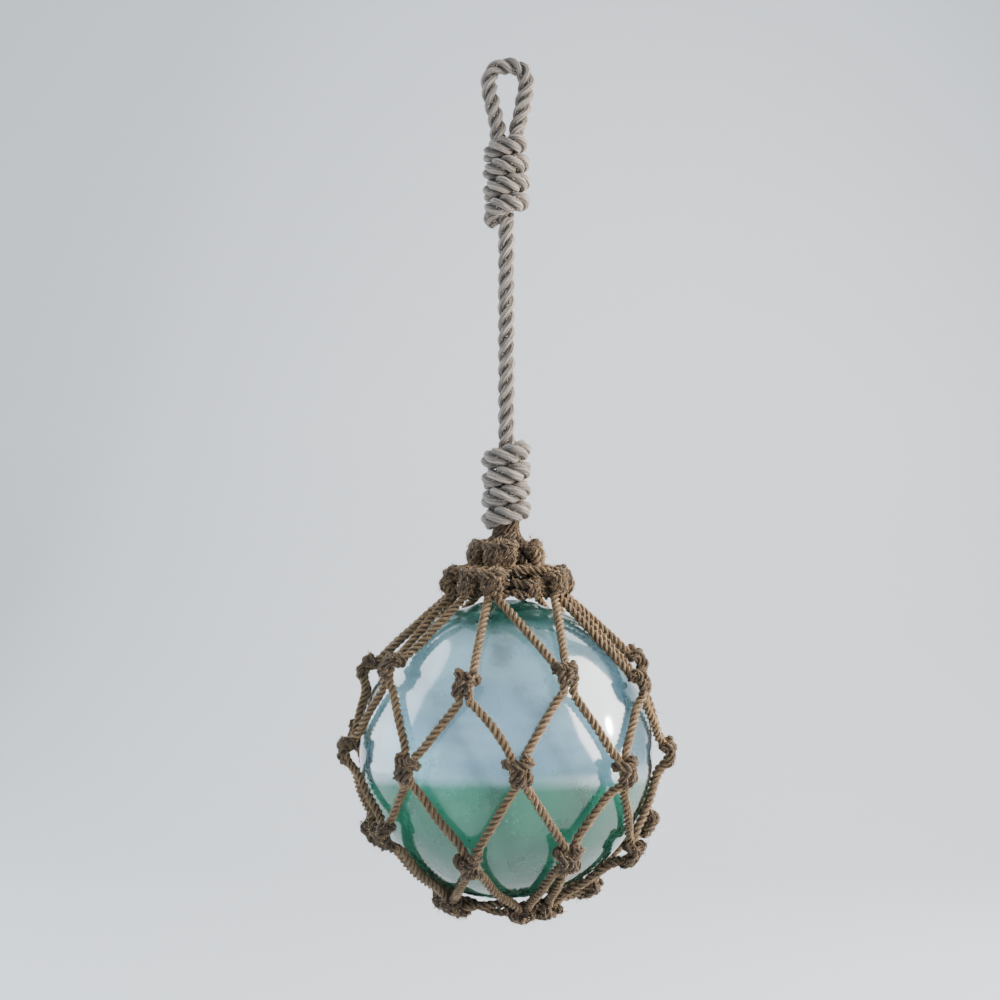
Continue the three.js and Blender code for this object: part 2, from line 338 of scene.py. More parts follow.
def blown_glass(name, tint, depth, wall):
    """Sea-green blown glass with a smeared film outside, a dull deposit inside, and painted shade
    over the top and the lower part.
    """
    g = Graph(name)
    at = g.place()
    z = g.split(at)[2]
    across = {"operation": "DISTANCE"}
    out = g.make("ShaderNodeVectorMath", across, {0: at, 1: tuple(BALL_CENTRE)}, out=1)
    inside = 1 - out.ramp(BALL_RADIUS - 0.8 * wall, BALL_RADIUS - 0.4 * wall)
    film = g.noise(at, 38.0, 6.0, 0.62)
    smear = g.noise(at.times((1, 1, 3.5)), 16.0, 4.0, 0.5)
    wave = g.noise(at.times((1, 1, 0.6)), 60.0, 3.0, 0.55)
    # Painted shade and a painted reflection of dark ground: the glass is coloured a deeper green
    # over the top and below a slanting line under the middle, with less coat there; over the top a
    # thick film also dulls it.
    mark = (z - BALL_CENTRE.z) * 0.984 + g.split(at)[1] * 0.177
    mark = mark * (1 / BALL_RADIUS) + (smear - 0.5) * 0.12
    top = mark.ramp(0.74, 0.86)
    low = 1 - mark.ramp(-0.25, -0.19)
    deep = 1 - mark.ramp(-0.9, -0.2)
    # The colours of the painted shade, and a grey for the smeared film.
    green = shade(tint, 0.23, 0.56, 0.36)
    dark = shade(tint, 0.19, 0.40, 0.26)
    grey = shade(tint, 0.74, 0.80, 0.86)
    tone = g.mix(smear.ramp(0.44, 0.60), tint, grey)
    tone = g.mix(top * 0.9, tone, dark)
    tone = g.mix(low * 0.9, tone, g.mix(deep, green, dark))
    # The deposit dulls the inner side, and the film the outer one where it is thick.
    rough = inside * (film.ramp(0.3, 0.7) * 0.16 + 0.2) + film.ramp(0.52, 0.8) * 0.08 + 0.012
    rough = rough + top * 0.2
    volume = g.make("ShaderNodeVolumeAbsorption", {}, {"Color": (*depth, 1), "Density": 48.0})
    return g.surface({
        "Base Color": tone,
        "Roughness": rough,
        "Normal": g.bump(wave, 0.22, 1.5 * MM),
        "IOR": 1.52,
        "Transmission Weight": 1.0,
        "Coat Weight": (1 - inside) * (1 - 0.75 * top) * (1 - 0.92 * low),
        "Coat IOR": 2.3,
        "Coat Roughness": 0.12,
    }, volume)


def painted_board(name, colour):
    """The pale floor and backdrop."""
    g = Graph(name)
    mottle = g.noise(g.place(), 3.0, 3.0)
    tone = g.mix(mottle * 0.25, colour, shade(colour, 0.94))
    return g.surface({"Base Color": tone, "Roughness": 0.9})


# ------------------------------------------------------------------ laid cord
# Each of a cord's three strands takes this many degrees on either side of its crown, and the
# creases between them lie at least this share of the radius from the cord's middle.
HALF_STRAND = 60
CREASE = 0.56


def laid_outline(per_strand):
    """Angles and reaches round a cord of three strands, as shares of its radius."""
    strand = 1 / (1 + 2 / math.sqrt(3))
    middle = 1 - strand
    outline = []
    for number in range(3 * per_strand):
        share = (number % per_strand) / per_strand
        # Points crowd towards the crease, where the outline turns most.
        offset = HALF_STRAND * (2 * share - 1)
        offset = math.copysign(HALF_STRAND * (abs(offset) / HALF_STRAND) ** 0.8, offset)
        a = math.radians(offset)
        root = max(0.0, strand * strand - (middle * math.sin(a)) ** 2)
        reach = max(CREASE, middle * math.cos(a) + math.sqrt(root))
        outline.append((a + (number // per_strand) * TURN / 3, reach))
    return outline


def smooth_line(points, step):
    """A Catmull-Rom line through the points, cut into even steps."""
    ends = [2 * points[0] - points[1], *points, 2 * points[-1] - points[-2]]
    fine = []
    for a, b, c, d in zip(ends, ends[1:], ends[2:], ends[3:]):
        pieces = max(4, int((c - b).length / step * 2))
        for k in range(pieces):
            t = k / pieces
            fine.append(0.5 * (2 * b + (c - a) * t + (2 * a - 5 * b + 4 * c - d) * t * t
                               + (3 * b - a - 3 * c + d) * t ** 3))
    fine.append(points[-1].copy())
    reach = [0.0]
    for a, b in zip(fine, fine[1:]):
        reach.append(reach[-1] + (b - a).length)
    count = max(3, round(reach[-1] / step))
    line = []
    k = 0
    for number in range(count + 1):
        want = reach[-1] * number / count
        while k < len(reach) - 2 and reach[k + 1] < want:
            k += 1
        share = (want - reach[k]) / max(1e-9, reach[k + 1] - reach[k])
        line.append(fine[k].lerp(fine[k + 1], min(1, share)))
    return line


def line_frames(line):
    """Point, along, side and other side at each point, turning as little as possible."""
    last = len(line) - 1
    alongs = [(line[min(i + 1, last)] - line[max(i - 1, 0)]).normalized()
              for i in range(last + 1)]
    side = alongs[0].orthogonal().normalized()
    frames = []
    for i, (point, along) in enumerate(zip(line, alongs)):
        if i:
            side = alongs[i - 1].rotation_difference(along) @ side
            side = (side - along * side.dot(along)).normalized()
        frames.append((point, along, side, along.cross(side)))
    return frames


def cord_mesh():
    """An empty mesh whose points hold their place round the strands and round the yarns."""
    bm = bmesh.new()
    for layer in ("strand", "fibre"):
        bm.verts.layers.float_vector.new(layer)
    return bm


class Cordmaker:
    """Lays cords into one mesh, and grows loose fibres from them into another."""

    # The yarns raised round a cord, and the share of its strands' turn that they turn back.
    YARNS = 7
    YARN_TURN = 0.35
    # The longest loose fibre.
    LONG_FIBRE = 7 * MM

    def __init__(self, diameter, lay, per_strand, seed, fibres=None, yarn_relief=0.0, rough=0.035):
        self.diameter = diameter
        self.lay = lay
        self.outline = laid_outline(per_strand)
        self.random = random.Random(seed)
        self.relief = yarn_relief
        self.rough = rough
        self.cords = cord_mesh()
        self.fibres = cord_mesh() if fibres is None else fibres

    def ring_sizes(self, line, thick, drift, cut):
        """How far along the cord each ring lies, and its radius. A cut cord has round ends."""
        full = 0.5 * self.diameter * thick
        whole = sum((b - a).length for a, b in zip(line, line[1:]))
        gone = 0.0
        rings = []
        for i, point in enumerate(line):
            if i:
                gone += (point - line[i - 1]).length
            swell = 1 + 0.05 * noise.noise(Vector((gone / self.diameter * 0.6, drift, 0)))
            left = min(gone, whole - gone) if cut else full
            end = math.sqrt(max(0.12, 1 - max(0, 1 - left / full) ** 2))
            rings.append((gone, full * swell * end))
        return rings

    def lay_cord(self, points, step, fuzz=0, thick=1.0, frayed=1.0, cut=True):
        """One cord through the points, with fuzz loose fibres to the metre."""
        line = smooth_line(points, step)
        frames = line_frames(line)
        phase = self.random.uniform(0, TURN)
        drift = self.random.uniform(0, 100)
        rings = self.ring_sizes(line, thick, drift, cut)
        bm = cord_mesh()
        strand_layer = bm.verts.layers.float_vector["strand"]
        fibre_layer = bm.verts.layers.float_vector["fibre"]
        columns = len(self.outline)
        rows = len(line) - 1
        grid = bmesh.ops.create_grid(bm, x_segments=columns, y_segments=rows, size=1)
        for vert in grid["verts"]:
            column = round((vert.co.x + 1) / 2 * columns) % columns
            row = round((vert.co.y + 1) / 2 * rows)
            angle, reach = self.outline[column]
            point, _, side, other = frames[row]
            gone, radius = rings[row]
            twist = phase + TURN * gone / self.lay
            # Slow lumps and a finer roughness over the surface.
            lump = noise.noise(Vector((2.2 * math.cos(angle), 2.2 * math.sin(angle),
                                       gone / self.diameter * 1.7 + drift)))
            rough = noise.noise(Vector((5 * math.cos(angle), 5 * math.sin(angle),
                                        gone / self.diameter * 5 + drift)))
            reach = reach * (1 + 0.06 * lump + self.rough * rough)
            turned = angle + twist
            yarn = angle + twist * self.YARN_TURN
            if self.relief:
                reach += self.relief * math.cos(self.YARNS * yarn)
            vert.co = point + radius * reach * (math.cos(turned) * side + math.sin(turned) * other)
            length = gone / self.diameter + drift
            vert[strand_layer] = (math.cos(angle), math.sin(angle), length)
            vert[fibre_layer] = (math.cos(yarn), math.sin(yarn), length)
        bmesh.ops.remove_doubles(bm, verts=bm.verts, dist=1e-7)
        bmesh.ops.holes_fill(bm, edges=bm.edges, sides=0)
        bmesh.ops.recalc_face_normals(bm, faces=bm.faces)
        append(self.cords, bm)
        length = rings[-1][0]
        for _ in range(int(fuzz * length * frayed + self.random.random())):
            self.grow(frames, rings, frayed, drift)

    def grow(self, frames, rings, frayed, drift):
        """One loose fibre, standing out of the cord and bent."""
        draw = self.random
        row = draw.randrange(len(frames))
        point, along, side, other = frames[row]
        radius = rings[row][1]
        a = draw.uniform(0, TURN)
        out = math.cos(a) * side + math.sin(a) * other
        across = along.cross(out)
        lean = draw.choice((-1, 1)) * draw.uniform(0.3, 1.3)
        aim = (out * draw.uniform(0.5, 1.1) + along * lean
               + across * draw.gauss(0, 0.5)).normalized()
        bend = (across * draw.gauss(0, 1) + out * draw.uniform(-1, 0.3)).normalized()
        long = min(self.LONG_FIBRE, draw.lognormvariate(math.log(2.2 * MM * frayed), 0.4))
        wide = draw.uniform(0.16, 0.32) * MM
        start = point + out * radius * 0.72
        spike(self.fibres, start, aim, bend, long, wide, (drift, a))


def fibre_shape():
    """The points and faces of a fibre: a thin cone of length 1, cut in two so that it can bend."""
    bm = bmesh.new()
    bmesh.ops.create_cone(
        bm, segments=3, radius1=1, radius2=0, depth=1, cap_ends=True, cap_tris=False)
    bmesh.ops.remove_doubles(bm, verts=bm.verts, dist=1e-4)
    bmesh.ops.translate(bm, verts=bm.verts, vec=(0, 0, 0.5))
    bmesh.ops.bisect_plane(
        bm, geom=bm.verts[:] + bm.edges[:] + bm.faces[:], plane_co=(0, 0, 0.5), plane_no=(0, 0, 1))
    bm.verts.index_update()
    points = [vert.co.copy() for vert in bm.verts]
    faces = [[vert.index for vert in face.verts] for face in bm.faces]
    bm.free()
    return points, faces


FIBRE_POINTS, FIBRE_FACES = fibre_shape()


def spike(mesh, start, aim, bend, long, wide, mark):
    """One fibre, bent sideways by about a third of its length.

    mark is its place along the cord, in diameters, and round it."""
    side = aim.orthogonal().normalized()
    other = aim.cross(side)
    strand_layer = mesh.verts.layers.float_vector["strand"]
    fibre_layer = mesh.verts.layers.float_vector["fibre"]
    new = []
    for p in FIBRE_POINTS:
        vert = mesh.verts.new(start + aim * (long * p.z) + bend * (0.35 * long * p.z * p.z)
                              + (side * p.x + other * p.y) * wide)
        vert[strand_layer] = (1, 0, mark[0] + p.z)
        vert[fibre_layer] = (math.cos(mark[1]), math.sin(mark[1]), mark[0] + p.z)
        new.append(vert)
    for face in FIBRE_FACES:
        mesh.faces.new([new[i] for i in face])


def append(target, part):
    """Adds one bmesh to another and frees it."""
    mesh = bpy.data.meshes.new("part")
    part.to_mesh(mesh)
    part.free()
    target.from_mesh(mesh)
    bpy.data.meshes.remove(mesh)


def to_object(name, bm, material):
    """A smooth-shaded object at the origin, linked to the scene."""
    for face in bm.faces:
        face.smooth = True
    mesh = bpy.data.meshes.new(name)
    bm.to_mesh(mesh)
    bm.free()
    mesh.materials.append(material)
    piece = bpy.data.objects.new(name, mesh)
    bpy.context.scene.collection.objects.link(piece)
    return piece


def dress(piece, slot, *nodes):
    """Puts a piece on the root body and hides the CAD nodes it stands for; its material slot is not
    used.
    """
    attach(piece, "root")
    if nodes:
        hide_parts(*nodes)
    return piece


# ------------------------------------------------------------------ the hanger rope
# The spacing of the rings that make up the rope, its loose fibres to the metre and how far
# the straight run goes into the coils.
ROPE_RING = 0.9 * MM
ROPE_FUZZ = 3600
TUCK = 4 * MM

# radius is that of the rope's middle line and pitch its fall in one turn. front is the height
# where it first crosses the front, with the turns before and after that. strands is how many
# strands pass in each turn: with nine, the wraps look alike all the way down. thick is how
# much the wound rope spreads, and core the standing part inside the coil, in millimetres.
UPPER_COIL = {"radius": 10.1 * MM, "pitch": 13.3 * MM, "front": -50.6 * MM, "before": 0.33,
              "after": 3.42, "strands": 9, "thick": 1.12, "core": (-58, -80, -106)}
LOWER_COIL = {"radius": 11 * MM, "pitch": 13.7 * MM, "front": -262.5 * MM, "before": 0.46,
              "after": 3.5, "strands": 8, "thick": 1.13, "core": (-252, -280, -312)}
# The rope's frayed end under the upper coil, in millimetres.
ROPE_END = ((-6, 3, -90), (-9.4, 1, -96), (-10.6, -1, -105))
# The eye, left leg, bow and right leg, across and up in millimetres. The legs meet the upper
# coil at its top and run on inside it.
EYE_FOOT = UPPER_COIL_TOP / MM
EYE = ((-3.6, -62), (-4.2, -52), (-5.4, EYE_FOOT), (-5.8, EYE_FOOT + 5), (-6.8, -32), (-9.6, -20),
       (-12, -8), (-10.6, 1.6), (-5, 5.9), (1, 6.6), (7.2, 5.8), (12.6, 1), (13.8, -8),
       (11.6, -20), (9.2, -32), (7.4, EYE_FOOT + 5), (6.8, EYE_FOOT), (4.6, -52), (4.0, -62))
EYE_LAY = 28 * MM


def coil_line(coil):
    """The line of a rope wound round its own standing part, entering and leaving inside."""
    line = []
    turns = coil["before"] + coil["after"]
    count = round(16 * turns)
    for k in range(count + 1):
        turned = -coil["before"] + turns * k / count
        a = -TURN / 4 - TURN * turned
        # The first and the last sixteenth of the line bend inward.
        inside = max(0.0, 1 - 16 * min(k, count - k) / count)
        out = (coil["radius"] + 0.3 * MM * math.sin(5 * a)) * (1 - 0.55 * inside * inside)
        height = coil["front"] - coil["pitch"] * turned
        line.append(Vector((out * math.cos(a), out * math.sin(a), height)))
    return line


class FLOAT_OT_hanger(bpy.types.Operator):
    """Lay the hanger rope: its straight run, its two coiled knots and its eye."""

    bl_idname = "net_float.hanger"
    bl_label = "Hanger Rope"

    def execute(self, context):
        sizes = context.scene.float_sizes
        colour = context.scene.float_colours.rope
        finish = cordage("Weathered hemp rope", colour, yarns=15, seed=3)
        hairs = cord_mesh()

        def rope(seed, lay):
            """A maker of the hanger's rope. All its ropes share one mesh of loose fibres."""
            return Cordmaker(sizes.rope, lay, per_strand=13, seed=seed, fibres=hairs,
                             yarn_relief=0.02)

        def wind(seed, coil):
            """A maker with a coil laid, and the standing part inside it."""
            turn = math.hypot(TURN * coil["radius"], coil["pitch"])
            maker = rope(seed, turn * 3 / coil["strands"])
            maker.lay_cord(coil_line(coil), ROPE_RING, fuzz=ROPE_FUZZ, thick=coil["thick"])
            maker.lay_cord([Vector((0, 0, z)) * MM for z in coil["core"]], 2 * ROPE_RING)
            return maker

        def piece(maker, name, node):
            """The finished piece, in place of its CAD node."""
            return dress(to_object(name, maker.cords, finish), "hanger_cordage", node)

        # The straight run.
        route = [Vector((0, 0, RUN_LOW.z - TUCK))]
        route += [Vector((0, 0, z * MM)) for z in range(-243, -108, 9)]
        route.append(Vector((0, 0, RUN_HIGH.z + TUCK)))
        run = rope(seed=11, lay=sizes.rope_lay)
        run.lay_cord(route, ROPE_RING, fuzz=ROPE_FUZZ, cut=False)
        run = piece(run, "hanger_rope_run", "hanger_rope")

        upper = wind(seed=12, coil=UPPER_COIL)
        upper.lay_cord([Vector(point) * MM for point in ROPE_END], ROPE_RING,
                       fuzz=2 * ROPE_FUZZ, frayed=1.4)
        upper = piece(upper, "hanger_upper_knot", "hanger_upper_coil")

        eye = rope(seed=13, lay=EYE_LAY)
        eye.lay_cord([Vector((x, 0, z)) * MM for x, z in EYE], ROPE_RING, fuzz=ROPE_FUZZ)
        eye = piece(eye, "hanger_eye_loop", "hanger_eye")

        lower = wind(seed=14, coil=LOWER_COIL)
        piece(lower, "hanger_lower_knot", "hanger_lower_coil")

        # Loose rope fibres painted paler, as a painted highlight.
        loose = loose_hemp_painted_highlight("Loose rope fibres", shade(colour, 1.8))
        dress(to_object("hanger_loose_fibres", hairs, loose), "hanger_cordage")
        return {"FINISHED"}


# ------------------------------------------------------------------ the net
class Knot:
    """A knot's place: its middle and its way out, up and right."""

    def __init__(self, at, out, sway):
        up = Vector((0, 0, 1))
        up = (up - out * up.dot(out)).normalized()
        self.at = at
        self.out = out
        self.up = Quaternion(out, sway) @ up
        self.right = self.up.cross(out)

    def point(self, right, out, up):
        """A point given in the knot's own millimetres."""
        return self.at + (self.right * right + self.out * out + self.up * up) * MM

    def port(self, side, end):
        """Where a cord leaves: left or right of the middle, above or below it."""
        return self.point(3.3 * side, -1.6, 6.5 if end > 0 else -10.5)


def towards(bearing, latitude):
    """The way out from the middle at a bearing and a latitude."""
    a, b = math.radians(bearing), math.radians(latitude)
    return Vector((math.sin(a) * math.cos(b), -math.cos(a) * math.cos(b), math.sin(b)))


def above_ball(bearing, out, height):
    """A point this far out from the hanger's line, in millimetres, and at this height."""
    point = towards(bearing, 0) * out * MM
    point.z = height * MM
    return point


def sway_of(row, i):
    """How far one knot of a row leans to a side, in radians."""
    return KNOT_SWAY * math.sin(3.1 * i + 1.7 * row["bearing"])


def row_on_ball(row):
    """The knots of a row that lies on the ball."""
    knots = []
    for i, (lean, lift) in enumerate(zip(row["lean"], row["lift"])):
        out = towards(row["bearing"] + STEP * i + lean, row["latitude"] + lift)
        knots.append(Knot(BALL_CENTRE + KNOT_RADIUS * out, out, sway_of(row, i)))
    return knots


def tier_above(tier):
    """The knots of a tier gathered above the ball."""
    knots = []
    for i, lean in enumerate(tier["lean"]):
        bearing = tier["bearing"] + STEP * i + lean
        at = towards(bearing, 0) * tier["radius"]
        at.z = tier["z"]
        knots.append(Knot(at, towards(bearing, TIER_TILT), sway_of(tier, i)))
    return knots


def leg_over_ball(start, end, cord, bow):
    """Points of a leg that dips from two knots to the glass between them."""
    a, b = start - BALL_CENTRE, end - BALL_CENTRE
    # How far out the middle line is where the leg lies on the glass.
    lying = BALL_RADIUS + cord * 0.52
    angle = a.angle(b)
    across = a.cross(b).normalized()
    points = []
    parts = 12
    for k in range(1, parts):
        t = k / parts
        out = (a.normalized() * math.sin((1 - t) * angle)
               + b.normalized() * math.sin(t * angle)) / math.sin(angle)
        end_radius = (a if t < 0.5 else b).length
        lift = (end_radius - lying) * abs(2 * t - 1) ** 5
        points.append(BALL_CENTRE + out * (lying + lift)
                      + across * bow * math.sin(math.pi * t))
    return points


# The spacing of the rings that make up the net's cords.
NET_RING = 1.55 * MM
# The start of a right-hand leg, inside its upper knot (right, out, up), in millimetres.
LEG_START = ((2.4, 0.6, 3.0), (3.3, 2.8, -1.5), (3.5, 1.6, -6.5))
# The closing ring at the foot is two cords wound round each other, this far off its line.
FOOT_RING_SPREAD = 2.6 * MM
# The crown above the ball, in millimetres: how far out its neck cords end and how far up in
# the coil, the slack cords from the neck to the collar, and the cords gathered round behind
# the collar. The last two are distances out and heights.
NECK_OUT = 6.6
NECK_RISE = 9
SLACK_CORD = ((5, -322), (11, -331), (24, -341))
GATHERING_CORDS = ((24.5, -341), (31.5, -349.5), (33.5, -356.6))

# How far a knot is turned, in radians, and how far its cords are shaken, in millimetres.
KNOT_TWIST = 0.24
KNOT_SHAKE = 0.5
# The cords of a knot that show, each a thickness and a line in the knot's own millimetres
# (right, out, up): the drum of the turn that wraps the bight, with its ends raised; the
# three cords side by side below it; and the round end of the bight at the upper right.
KNOT_CORDS = (
    (1.16, ((-2.4, -3.6, 3.4), (-6.0, -2.2, 4.4), (-7.2, 1.6, 5.6), (-4.4, 4.8, 4.4),
            (0.0, 5.4, 3.2), (4.4, 4.6, 4.0), (6.8, 1.6, 5.0), (5.6, -2.4, 4.4), (2.2, -3.6, 3.4))),
    (1.12, ((-1.8, 2.0, 5.4), (-3.3, 4.2, 0.4), (-4.2, 4.2, -4.4), (-3.9, 1.8, -10.2))),
    (1.12, ((2.2, 2.0, 5.4), (3.5, 4.2, 0.2), (4.2, 4.0, -4.6), (3.9, 1.6, -10.0))),
    (1.1, ((-0.2, 3.0, 3.0), (0.1, 5.6, -0.8), (0.1, 5.2, -5.0), (-0.3, 2.0, -9.4))),
    (1.34, ((1.6, 0.4, 4.4), (3.6, 2.8, 5.8), (5.4, 4.6, 7.2), (6.2, 5.8, 8.2))),
)


def tie(maker, knot, fuzz, size, frayed):
    """One knot, its lines shaken a little so that no two are alike."""
    draw = maker.random
    twist = draw.uniform(-KNOT_TWIST, KNOT_TWIST)
    for thick, part in KNOT_CORDS:
        points = []
        for number, (right, out, up) in enumerate(part):
            loose = 0.0 if number == 0 else KNOT_SHAKE
            right, up = (right * math.cos(twist) - up * math.sin(twist),
                         right * math.sin(twist) + up * math.cos(twist))
            shake = [draw.gauss(0, loose) for _ in range(3)]
            out = max(out + 0.6 * shake[1], -5.0)
            points.append(knot.point((right + shake[0]) * size, out * size, (up + shake[2]) * size))
        maker.lay_cord(points, NET_RING, fuzz=fuzz, thick=thick * size, frayed=frayed)
    # A few tufts where the cord is chafed.
    for _ in range(round(5 * frayed)):
        root = knot.point(draw.uniform(-7, 8) * size, draw.uniform(2, 6) * size,
                          draw.uniform(-9, 10) * size)
        for _ in range(8):
            aim = knot.out * draw.uniform(0.5, 1) + knot.right * draw.gauss(0, 0.7)
            aim = (aim + knot.up * draw.gauss(0, 0.7)).normalized()
            bend = Vector([draw.gauss(0, 1) for _ in range(3)]).normalized()
            start = root + bend * draw.uniform(0, 0.9) * MM
            spike(maker.fibres, start, aim, bend, draw.uniform(1.6, 3.8) * MM,
                  draw.uniform(0.2, 0.36) * MM, (draw.uniform(0, 90), draw.uniform(0, TURN)))


def lay_foot_ring(maker, sizes, first, second):
    """The closing ring from one knot of the foot to the next: two cords, wound together."""
    ring = leg_over_ball(first.at, second.at, 1.7 * sizes.net_cord, 0)
    ring = [first.at, *ring, second.at]
    along = (ring[-1] - ring[0]).normalized()
    for half in (0, 0.5):
        pair = []
        for k, point in enumerate(ring):
            a = TURN * (half + 0.75 * k / len(ring))
            out = (point - BALL_CENTRE).normalized()
            aside = math.cos(a) * out + math.sin(a) * out.cross(along)
            pair.append(point + aside * FOOT_RING_SPREAD)
        maker.lay_cord(pair, NET_RING, fuzz=1.3 * sizes.fuzz)


def lay_crown(maker, sizes, crest, collar):
    """The cords above the ball that belong to no mesh."""
    for i in range(MESHES_ROUND):
        # Two cords from each crest knot up the neck and into the hanger's lower coil.
        for side in (-1, 1):
            bearing = CREST["bearing"] + STEP * (i + 0.25 * side)
            top = above_ball(bearing, NECK_OUT, NECK_TOP / MM + NECK_RISE)
            spread = above_ball(bearing, 1.3 * NECK_OUT, NECK_TOP / MM - 5)
            maker.lay_cord([crest[i].point(2.4 * side, 0, -4), crest[i].point(2.6 * side, -3, 1),
                            spread, top - Vector((0, 0, 6 * MM)), top],
                           NET_RING, fuzz=sizes.fuzz)
        # A slack cord from the neck to the back of each collar knot, and a stretch of each
        # gathering cord from that knot to the next.
        bearing = COLLAR["bearing"] + STEP * i
        line = [above_ball(bearing, out, height) for out, height in SLACK_CORD]
        line.append(collar[i].point(0, -2.5, 3))
        maker.lay_cord(line, NET_RING, fuzz=sizes.fuzz, thick=1.1)
        for out, height in GATHERING_CORDS:
            line = []
            for k in range(5):
                sag = 1.6 * math.sin(TURN * k / 4 + i) + maker.random.gauss(0, 0.5)
                line.append(above_ball(bearing + STEP * k / 4, out, height + sag))
            maker.lay_cord(line, NET_RING, fuzz=1.2 * sizes.fuzz, thick=1.15)


class FLOAT_OT_net(bpy.types.Operator):
    """Knot the net: the legs over the ball, the crown above it and every knot."""

    bl_idname = "net_float.net"
    bl_label = "Knotted Net"

    def execute(self, context):
        sizes = context.scene.float_sizes
        brown = context.scene.float_colours.net
        finish = cordage("Brown hemp net cord", brown, yarns=9, seed=0)
        # The knots take a colour darker than the legs: partly dirt, partly painted shade.
        soiled_and_shaded = cordage("Soiled and shaded hemp knots", shade(brown, 0.36), yarns=9, seed=0, dirt_and_highlight=0.35)
        # Loose net fibres painted paler, as a painted highlight.
        loose = loose_hemp_painted_highlight("Loose net fibres", shade(brown, 1.35))
        shoulder, waist = row_on_ball(SHOULDER), row_on_ball(WAIST)
        haunch, foot = row_on_ball(HAUNCH), row_on_ball(FOOT)
        collar, crest = tier_above(COLLAR), tier_above(CREST)
        legs = Cordmaker(sizes.net_cord, sizes.net_lay, per_strand=6, seed=21)

        def leg(upper, upper_side, lower, lower_side, over=True):
            """A cord from the foot of one knot to the head of a lower one."""
            start = upper.port(upper_side, -1)
            end = lower.port(lower_side, 1)
            bow = legs.random.gauss(0, 0.9 * MM)
            if over:
                middle = leg_over_ball(start, end, sizes.net_cord, bow)
            else:
                middle = [start.lerp(end, t) + (start - end).orthogonal().normalized() * bow * t
                          for t in (0.25, 0.5, 0.75)]
            inner = [upper.point(right * upper_side, out, up) for right, out, up in LEG_START]
            outer = lower.point(3.0 * lower_side, -1.0, 0)
            legs.lay_cord([*inner, start, *middle, end, outer], NET_RING,
                          fuzz=sizes.fuzz, thick=1.07)

        for i in range(MESHES_ROUND):
            before = i - 1
            after = (i + 1) % MESHES_ROUND
            leg(shoulder[i], 1, waist[i], -1)
            leg(shoulder[after], -1, waist[i], 1)
            leg(waist[before], 1, haunch[i], -1)
            leg(waist[i], -1, haunch[i], 1)
            leg(haunch[i], 1, foot[i], -1)
            leg(haunch[after], -1, foot[i], 1)
            leg(collar[i], -1, shoulder[i], 1, over=False)
            if after != DROPPED_LEG:
                leg(collar[i], 1, shoulder[after], -1, over=False)
            leg(crest[i], 1, collar[i], -1, over=False)
            leg(crest[after], -1, collar[i], 1, over=False)
            lay_foot_ring(legs, sizes, foot[i], foot[after])

        knots = Cordmaker(sizes.net_cord, sizes.net_lay, per_strand=6, seed=22, rough=0.14)
        lay_crown(knots, sizes, crest, collar)
        # The end of the gathering cord, knotted in front of the collar.
        way = towards(END_KNOT["bearing"], 0)
        end = way * END_KNOT["radius"]
        end.z = END_KNOT["z"]
        tie(knots, Knot(end, way, sway=0), 2 * sizes.fuzz, END_KNOT["size"], frayed=1.3)
        for tier, size, frayed in ((crest, 0.84, 1.3), (collar, 0.92, 1.3), (shoulder, 0.96, 1),
                                   (waist, 0.96, 1), (haunch, 1, 1.2), (foot, 1, 1.4)):
            for knot in tier:
                tie(knots, knot, 1.8 * sizes.fuzz * frayed,
                    size * knots.random.uniform(0.95, 1.06), frayed)

        dress(to_object("net_cords", legs.cords, finish), "net_cord", "net")
        dress(to_object("net_knots", knots.cords, soiled_and_shaded), "net_cord", "net")
        dress(to_object("net_loose_fibres", legs.fibres, loose), "net_cord")
        dress(to_object("net_knot_fibres", knots.fibres, loose), "net_cord")
        return {"FINISHED"}


# ------------------------------------------------------------------ the glass ball
# The button that closes the blowhole: its edge, the width of its slope and its height.
BUTTON = {"edge": 28 * MM, "slope": 11 * MM, "height": 1.2 * MM}
# The faint rings round it, a sine: where they are highest, how far they spread, their height
# and the distance in which the sine goes on by one radian.
RINGS = {"middle": 36 * MM, "spread": 14 * MM, "height": 0.14 * MM, "radian": 2.6 * MM}
# How far the outer wall lies inside the ball's outline, and how wavy the two walls are.
OUTER_INSET = 0.3 * MM
OUTER_WAVES = 0.5 * MM
INNER_WAVES = 1.1 * MM
# The usual and the greatest radius of the seeds.
SEED = 0.4 * MM
LARGEST_SEED = 1.0 * MM


def seal_rise(across):
    """How far the glass stands up round its top pole, where the blowhole was closed."""
    edge = max(0.0, min(1.0, (BUTTON["edge"] - across) / BUTTON["slope"]))
    button = BUTTON["height"] * edge * edge * (3 - 2 * edge)
    near = math.exp(-((across - RINGS["middle"]) / RINGS["spread"]) ** 2)
    return button + RINGS["height"] * math.sin(across / RINGS["radian"]) * near


def face_inward(bm, verts):
    """Turns the faces at these points the other way, to bound a hollow."""
    faces = {face for vert in verts for face in vert.link_faces}
    bmesh.ops.reverse_faces(bm, faces=list(faces))


def glass_wall(bm, radius, waves, seed, inward):
    """One side of the wall, a little wavy as blown glass is."""
    ball = bmesh.ops.create_uvsphere(bm, u_segments=128, v_segments=96, radius=1)["verts"]
    for vert in ball:
        out = vert.co.normalized()
        wave = noise.noise(out * 2.3 + Vector((seed, 0, 0))) * waves
        wave += 0.4 * waves * noise.noise(out * 6 + Vector((0, seed, 0)))
        wave += 0.1 * waves * noise.noise(out * 17 + Vector((0, 0, seed)))
        if out.z > 0:
            across = radius * math.hypot(out.x, out.y)
            wave += seal_rise(across) * (-0.3 if inward else 1)
        vert.co = BALL_CENTRE + out * (radius + wave)
    if inward:
        face_inward(bm, ball)


